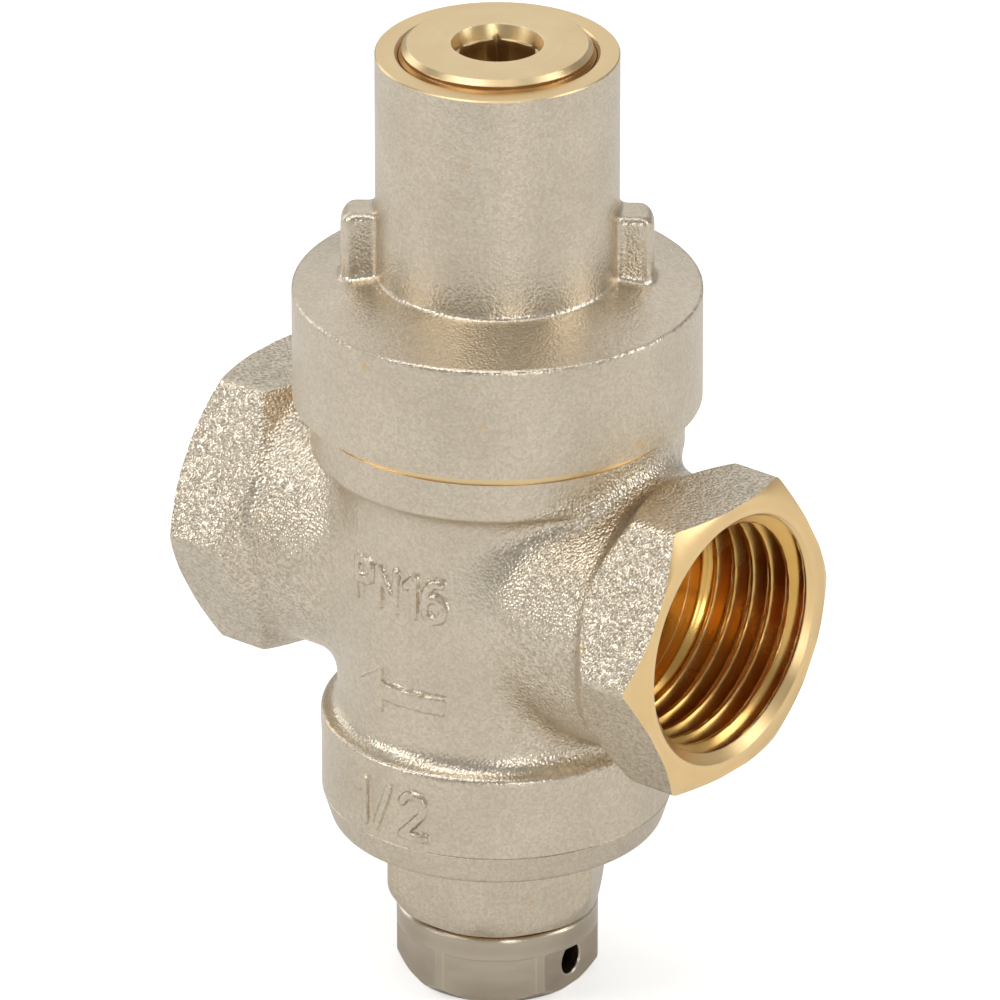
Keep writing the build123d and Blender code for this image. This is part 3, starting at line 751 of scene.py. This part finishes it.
def soft_material(name, light, dark, roughness, grain, depth, sheen=0.0):
    """Rubber, plastic or fibre: two close tones, a fine grain and a soft shine."""
    material, tree, shader = new_material(name)
    tone = noise(tree, SOFT_MOTTLE, detail=4.0)
    base = mix_colour(tree, spread(tree, tone, 0.0, 1.0, start=0.3, end=0.7), dark, light)
    fine = noise(tree, grain, detail=2.0)
    bump = add(tree, "ShaderNodeBump", {"Height": fine, "Distance": depth, "Strength": 0.8})
    tree.links.new(base, shader.inputs["Base Color"])
    tree.links.new(bump.outputs["Normal"], shader.inputs["Normal"])
    rough = spread(tree, tone, roughness - 0.06, roughness + 0.06, start=0.3, end=0.7)
    tree.links.new(rough, shader.inputs["Roughness"])
    shader.inputs["Sheen Weight"].default_value = sheen
    return material


NICKEL_CAST = cast_nickel()
BRASS_PORT = turned_metal("brass_port", colour(252, 223, 170), colour(245, 209, 150), axis="X",
                          roughness=0.34)
# The thread and the passages: the port's brass painted darker and more saturated, as painted shade
# inside the bore.
BRASS_THREAD_SHADED = turned_metal("brass_thread_painted_shade", colour(240, 199, 123), colour(222, 173, 94), axis="X",
                            roughness=0.22)
BRASS_TURNED = turned_metal("brass_turned", colour(242, 218, 172), colour(230, 200, 148),
                            roughness=0.3)
# The nut gets painted shade below the tower's rim, in its socket and on its wall inside the bonnet.
BRASS_NUT = paint_shade_below(turned_metal("brass_nut", colour(240, 217, 172), colour(228, 199, 148),
                                 roughness=0.3), TOWER_TOP - 0.3, 0.7)
# Darker brass for the nut's outer wall: painted shade in the gap inside the bonnet's rim.
BRASS_PAINTED_SHADE = turned_metal("brass_painted_shade", colour(188, 142, 82), colour(150, 104, 52), roughness=0.3)
# The plug's edges take the full pale colour: partly wear, partly painted highlight.
NICKEL_BRIGHT = turned_metal("bright_nickel", colour(206, 194, 176), colour(190, 177, 158),
                             roughness=0.16, depth=0.0000015, bevel_radius=0.0003, wear_and_highlight=1.0)
STEEL = turned_metal("stainless_steel", colour(205, 205, 203), colour(188, 188, 187), roughness=0.26)
SPRING_STEEL = turned_metal("spring_steel", colour(150, 150, 152), colour(128, 128, 130),
                            roughness=0.34)
RUBBER = soft_material("nitrile_rubber", colour(42, 42, 43), colour(30, 30, 31), 0.5, 0.0002, 0.00001)
PTFE = soft_material("ptfe", colour(236, 234, 228), colour(224, 221, 214), 0.42, 0.0003, 0.000006, 0.1)
FIBRE = soft_material("gasket_fibre", colour(150, 92, 58), colour(118, 70, 44), 0.7, 0.00015, 0.00003)
CASTING_MATERIALS = [NICKEL_CAST, BRASS_PORT, BRASS_THREAD_SHADED, BRASS_TURNED]


# --- Machining of the castings ---------------------------------------------------------------------
def machined_neck():
    """Threaded neck on top of the body, as a solid ring of revolution."""
    chamfer = 0.4
    return lathe("neck", [
        (0, LAND_TOP - OVERLAP),
        (NECK_ROOT_R, LAND_TOP - OVERLAP),
        *ridges(NECK_ROOT_R, NECK_THREAD_BOTTOM),
        (NECK_ROOT_R, NECK_TOP - chamfer),
        (NECK_ROOT_R - chamfer, NECK_TOP),
        (0, NECK_TOP),
    ])


def body_inside():
    """Chambers of the body: cover thread, inlet chamber, throat, outlet chamber, bore."""
    oring_r, oring_top = 12.6, SEAM + 1.6
    shelf = COVER_TOP + 0.1
    inlet_r, inlet_top = 10.8, -5.0
    throat_r = 6.5
    outlet_r, outlet_bottom, outlet_top = 10.5, 4.5, 12.5
    return lathe("inside", [
        (0, SEAM - PAST),
        (oring_r, SEAM - PAST),
        (oring_r, oring_top),
        (COVER_BORE_R, oring_top),
        *ridges(COVER_BORE_R, COVER_THREAD_BOTTOM),
        (COVER_BORE_R, shelf),
        (inlet_r, shelf),
        (inlet_r, inlet_top),
        (throat_r, inlet_top),
        (throat_r, outlet_bottom),
        (outlet_r, outlet_bottom),
        (outlet_r, outlet_top),
        (NECK_BORE_R, outlet_top),
        (NECK_BORE_R, NECK_TOP + PAST),
        (0, NECK_TOP + PAST),
    ])


def land_tool():
    """Tool that turns the land under the bonnet's skirt."""
    past = 0.6
    return lathe("land", [
        (LAND_R, COLLAR_TOP),
        (CLEAR_R, COLLAR_TOP),
        (CLEAR_R, LAND_TOP + past),
        (NECK_ROOT_R, LAND_TOP + past),
        (NECK_ROOT_R, LAND_TOP),
        (LAND_R, LAND_TOP),
    ], ring=True)


def seam_tool(side):
    """Tool that faces one side of the joint under the body, with a small chamfer."""
    edge = CHAMBER_R - 0.07
    return lathe("seam", [
        (0, SEAM),
        (edge, SEAM),
        (edge + SPARE, SEAM + side * SPARE),
        (edge + SPARE, SEAM - side * CUT),
        (0, SEAM - side * CUT),
    ], material_index=NICKEL)


def face_tool(sign):
    """Tool that faces a port and chamfers the corners of its hexagon."""
    wide, thick = 4.0, 3.0
    outer = PORT_FACE_R + wide
    return lathe("face", [
        (0, REACH),
        (PORT_FACE_R, REACH),
        (outer, REACH - wide * PORT_FACE_SLOPE),
        (outer, REACH + thick),
        (0, REACH + thick),
    ], turn=towards_x(sign), material_index=BRASS)


def mouth_tool(sign):
    """Tool that countersinks a port's thread."""
    past = 1.0
    return lathe("mouth", [
        (0, REACH - PORT_MOUTH_R),
        (PORT_MOUTH_R + past, REACH + past),
        (0, REACH + past),
    ], turn=towards_x(sign), material_index=BRASS)


def passage_tool(name, start, sign, height):
    """Round hole along X from start to the bore of the port on one side."""
    end = BORE_FLOOR + PAST
    tool = lathe(name, [(0, start), (PASSAGE_R, start), (PASSAGE_R, end), (0, end)],
                 turn=towards_x(sign), material_index=BRASS_INSIDE_SHADED)
    tool.data.transform(Matrix.Translation((0, 0, height * MM)))
    return tool


def make_body():
    """Body: cast skin with machined neck, chambers, ports and passages."""
    reach, side = REACH + 1.3, 15.6
    low, high = (-reach, -side, SEAM - 1.2), (reach, side, LAND_TOP + 0.4)
    piece = cast("body_casting", body_field, low, high)
    combine(piece, machined_neck(), "UNION")
    combine(piece, body_inside())
    combine(piece, land_tool())
    combine(piece, seam_tool(1))
    for sign in (1, -1):
        combine(piece, face_tool(sign))
        combine(piece, pipe_thread("thread", sign))
        combine(piece, mouth_tool(sign))
    combine(piece, passage_tool("inlet", 8.5, 1, INLET_PASSAGE_HEIGHT))
    combine(piece, passage_tool("outlet", 8.0, -1, OUTLET_PASSAGE_HEIGHT))
    return finish_casting(piece, "root", "body")


def make_bonnet():
    """Bonnet: cast skin with its machined rim, spring bore and threaded skirt."""
    side = SKIRT_R + SPARE
    low, high = (-side, -side, LAND_TOP - SPARE), (side, side, TOWER_TOP + 0.6)
    piece = cast("bonnet_casting", bonnet_field, low, high)
    combine(piece, lathe("skirt_face", [
        (0, LAND_TOP),
        (CLEAR_R, LAND_TOP),
        (CLEAR_R, LAND_TOP - CUT),
        (0, LAND_TOP - CUT),
    ]))
    chamfer, out, wide = 0.12, 0.6, 3.0
    combine(piece, lathe("rim_face", [
        (0, TOWER_TOP),
        (TOWER_R - chamfer, TOWER_TOP),
        (TOWER_R + out, TOWER_TOP - chamfer - out),
        (TOWER_R + wide, TOWER_TOP - chamfer - out),
        (TOWER_R + wide, TOWER_TOP + CUT),
        (0, TOWER_TOP + CUT),
    ]))
    mouth_depth, past = 0.28, 0.3
    combine(piece, lathe("spring_bore", [
        (0, LAND_TOP - PAST),
        (BONNET_BORE_R + CASE_THREAD_DEPTH, LAND_TOP - PAST),
        (BONNET_BORE_R + CASE_THREAD_DEPTH, LAND_TOP),
        (BONNET_BORE_R, NECK_THREAD_BOTTOM),
        *ridges(BONNET_BORE_R, NECK_THREAD_BOTTOM),
        (BONNET_BORE_R, BONNET_CEILING),
        (SPRING_BORE_R, BONNET_CEILING),
        (SPRING_BORE_R, TOWER_TOP - mouth_depth),
        (SPRING_BORE_R + mouth_depth + past, TOWER_TOP + past),
        (0, TOWER_TOP + past),
    ]))
    return finish_casting(piece, "root", "bonnet")


def make_cover():
    """Bottom cover: cast rim and neck, with the machined and threaded spigot inside."""
    side = CHAMBER_R + 1
    low, high = (-side, -side, COVER_BOTTOM - 1.2), (side, side, SEAM + SPARE)
    piece = cast("cover_casting", cover_field, low, high)
    combine(piece, seam_tool(-1))
    spigot_bottom = SEAM - 1.5
    combine(piece, lathe("spigot", [
        (0, spigot_bottom),
        (SPIGOT_ROOT_R, spigot_bottom),
        *ridges(SPIGOT_ROOT_R, COVER_THREAD_BOTTOM),
        (SPIGOT_ROOT_R - 0.4, COVER_TOP),
        (0, COVER_TOP),
    ]), "UNION")
    balance_r, balance_bottom, balance_top = 4.8, -25.0, -18.0
    recess_r = 8.5
    combine(piece, lathe("cover_bore", [
        (0, COVER_BOTTOM - OVERLAP),
        (PLUG_BORE_R, COVER_BOTTOM - OVERLAP),
        (PLUG_BORE_R, COVER_BOTTOM),
        *ridges(PLUG_BORE_R, PLUG_THREAD_BOTTOM, PLUG_PITCH, PLUG_THREAD_DEPTH),
        (PLUG_BORE_R, balance_bottom),
        (balance_r, balance_bottom),
        (balance_r, balance_top),
        (recess_r, balance_top),
        (recess_r, COVER_TOP + PAST),
        (0, COVER_TOP + PAST),
    ]))
    wide, thick = 12.0, 3.0
    combine(piece, lathe("end_face", [
        (0, COVER_BOTTOM),
        (wide, COVER_BOTTOM),
        (wide, COVER_BOTTOM - thick),
        (0, COVER_BOTTOM - thick),
    ]))
    return finish_casting(piece, "root", "bottom_cover")


def make_nut():
    """Adjusting nut: its CAD shape, with the round pilot hole its socket is broached from, and painted
    shade on its outer wall below the bonnet's rim.
    """
    node = frame["nodes"]["adjusting_nut"]
    piece = bpy.data.objects.new("nut_with_pilot_hole", node.data.copy())
    bpy.context.scene.collection.objects.link(piece)
    shape = bmesh.new()
    shape.from_mesh(piece.data)
    bmesh.ops.remove_doubles(shape, verts=shape.verts, dist=TINY)
    shape.to_mesh(piece.data)
    shape.free()
    face_outwards(piece)
    combine(piece, lathe("pilot", [
        (0, NUT_TOP - SOCKET_DEPTH),
        (PILOT_R, NUT_TOP - SOCKET_DEPTH),
        (PILOT_R, NUT_TOP + PAST),
        (0, NUT_TOP + PAST),
    ]))
    mesh = piece.data
    mesh.materials.clear()
    mesh.materials.append(BRASS_NUT)
    mesh.materials.append(BRASS_PAINTED_SHADE)
    # Faces of the outer wall low enough to sit inside the bonnet's rim get the darker brass, as painted
    # shade.
    for face in mesh.polygons:
        centre = (face.center - PORT_AXIS) / MM
        outside = math.hypot(centre.x, centre.y) > NUT_WALL_R
        face.material_index = int(outside and centre.z < NUT_SHADE_TOP)
    shade(piece)
    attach(piece, "nut")
    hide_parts("adjusting_nut")


# --- Spring ----------------------------------------------------------------------------------------
COIL_STEPS = 48
WIRE_SIDES = 20
COIL_GAP = 0.1              # between the turns of a closed coil
WIRE_R = 1.1
ACTIVE_COILS = 4
SPLIT_TURN = 2.2            # where the lower half meets the upper half
END_COILS = 1


def coil_height(turn):
    """Height of the wire's middle after some turns from the lower end."""
    low, high = SPRING_LOW.z + WIRE_R / 2, SPRING_HIGH.z - WIRE_R / 2
    closed_pitch = 2 * WIRE_R + COIL_GAP
    open_pitch = (high - low - 2 * END_COILS * closed_pitch) / ACTIVE_COILS
    first = np.clip(turn, 0, END_COILS)
    middle = np.clip(turn - END_COILS, 0, ACTIVE_COILS)
    last = np.clip(turn - END_COILS - ACTIVE_COILS, 0, END_COILS)
    return low + (first + last) * closed_pitch + middle * open_pitch


def spring_part(name, first, last):
    """Part of the spring between two turns."""
    turns = np.linspace(first, last, round((last - first) * COIL_STEPS) + 1)[:, None]
    around = np.linspace(0, math.tau, WIRE_SIDES, endpoint=False)[None, :]
    radius = SPRING_HIGH.x - WIRE_R + WIRE_R * np.cos(around)
    height = np.clip(coil_height(turns) + WIRE_R * np.sin(around), SPRING_LOW.z, SPRING_HIGH.z)
    angle = math.tau * turns
    points = np.stack([radius * np.cos(angle), radius * np.sin(angle), height], axis=2)
    piece = sleeve(name, points, materials=[SPRING_STEEL])
    shade(piece)
    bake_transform(piece)
    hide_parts("main_spring")


def make_spring():
    """Main spring in two parts."""
    turns = ACTIVE_COILS + 2 * END_COILS
    spring_part("main_spring_lower", 0, SPLIT_TURN)
    spring_part("main_spring_upper", SPLIT_TURN, turns)


# --- Pieces that keep their CAD shape ----------------------------------------------------------------
CAD_LOOKS = {
    "thrust_washer": STEEL,
    "piston": BRASS_TURNED,
    "piston_oring": RUBBER,
    "piston_guide_ring": PTFE,
    "stem": STEEL,
    "stem_nuts": STEEL,
    "seat_ring": STEEL,
    "seat_oring": RUBBER,
    "disc_holder": BRASS_TURNED,
    "seat_disc": RUBBER,
    "disc_retainer": STEEL,
    "balance_oring": RUBBER,
    "cover_oring": RUBBER,
    "bottom_plug": NICKEL_BRIGHT,
    "plug_gasket": FIBRE,
}


def dress_cad_nodes():
    """Give every CAD node that stays its material."""
    for node, material in CAD_LOOKS.items():
        mesh = frame["nodes"][node].data
        mesh.materials.clear()
        mesh.materials.append(material)


# --- Studio -------------------------------------------------------------------------------------------
def make_floor():
    """Plain pale floor under the valve."""
    mesh = bpy.data.meshes.new("floor")
    size, level = 3.0, -0.02 * MM
    corners = [(x * size, y * size, level) for x, y in ((-1, -1), (1, -1), (1, 1), (-1, 1))]
    mesh.from_pydata(corners, [], [(0, 1, 2, 3)])
    floor = bpy.data.objects.new("floor", mesh)
    bpy.context.scene.collection.objects.link(floor)
    material, tree, shader = new_material("pale_floor")
    seen = add(tree, "ShaderNodeLightPath").outputs["Is Camera Ray"]
    shader.inputs["Base Color"].default_value = colour(241, 241, 240)
    shader.inputs["Roughness"].default_value = 0.7
    shader.inputs["Emission Color"].default_value = (1, 1, 1, 1)
    tree.links.new(calculate(tree, "MULTIPLY", seen, 0.48), shader.inputs["Emission Strength"])
    mesh.materials.append(material)


def direction(azimuth, elevation):
    """Unit vector from the object towards a viewer; azimuth 0 is the -Y side."""
    a, e = math.radians(azimuth), math.radians(elevation)
    return Vector((math.sin(a) * math.cos(e), -math.cos(a) * math.cos(e), math.sin(e)))


def softbox(name, azimuth, elevation, width, height, power, away=0.8):
    """Rectangular light that faces the valve."""
    light = bpy.data.lights.new(name, "AREA")
    light.shape = "RECTANGLE"
    light.size, light.size_y = width, height
    light.energy = power
    lamp = bpy.data.objects.new(name, light)
    lamp.location = PORT_AXIS + direction(azimuth, elevation) * away
    lamp.rotation_euler = (lamp.location - PORT_AXIS).to_track_quat("Z", "Y").to_euler()
    bpy.context.scene.collection.objects.link(lamp)


def make_world(strength):
    """Even pale surroundings."""
    world = bpy.data.worlds.new("studio")
    world.use_nodes = True
    background = world.node_tree.nodes["Background"]
    background.inputs["Color"].default_value = (1, 1, 1, 1)
    background.inputs["Strength"].default_value = strength
    bpy.context.scene.world = world


VIEW_AZIMUTH, VIEW_ELEVATION = 38.27, 26.13
VIEW_DISTANCE = 1.157
SENSOR_WIDTH, FOCAL_LENGTH = 36, 518.6
SHIFT = (0.0026, 0.0573)


def make_camera():
    """Long-lens camera at the photograph's viewing angle."""
    data = bpy.data.cameras.new("camera")
    data.sensor_width = SENSOR_WIDTH
    data.lens = FOCAL_LENGTH
    data.shift_x, data.shift_y = SHIFT
    data.clip_start, data.clip_end = 0.05, 20
    camera = bpy.data.objects.new("camera", data)
    camera.location = PORT_AXIS + direction(VIEW_AZIMUTH, VIEW_ELEVATION) * VIEW_DISTANCE
    camera.rotation_euler = (camera.location - PORT_AXIS).to_track_quat("Z", "Y").to_euler()
    bpy.context.scene.collection.objects.link(camera)
    bpy.context.scene.camera = camera


make_body()
make_bonnet()
make_cover()
make_nut()
make_spring()
dress_cad_nodes()
make_floor()
make_world(strength=0.34)
softbox("key", azimuth=-37, elevation=23, width=0.36, height=0.3, power=1.1)
softbox("high", azimuth=-20, elevation=60, width=0.35, height=0.4, power=0.9)
softbox("front", azimuth=52, elevation=10, width=0.22, height=0.22, power=0.7)
softbox("right", azimuth=120, elevation=30, width=0.3, height=0.8, power=1.8)
softbox("left", azimuth=-90, elevation=15, width=0.25, height=0.8, power=1.0)
softbox("top", azimuth=30, elevation=85, width=0.5, height=0.5, power=0.9, away=0.7)
softbox("back", azimuth=218, elevation=34, width=1.2, height=0.8, power=1.55, away=0.9)
make_camera()
bpy.context.scene.view_settings.view_transform = "Standard"
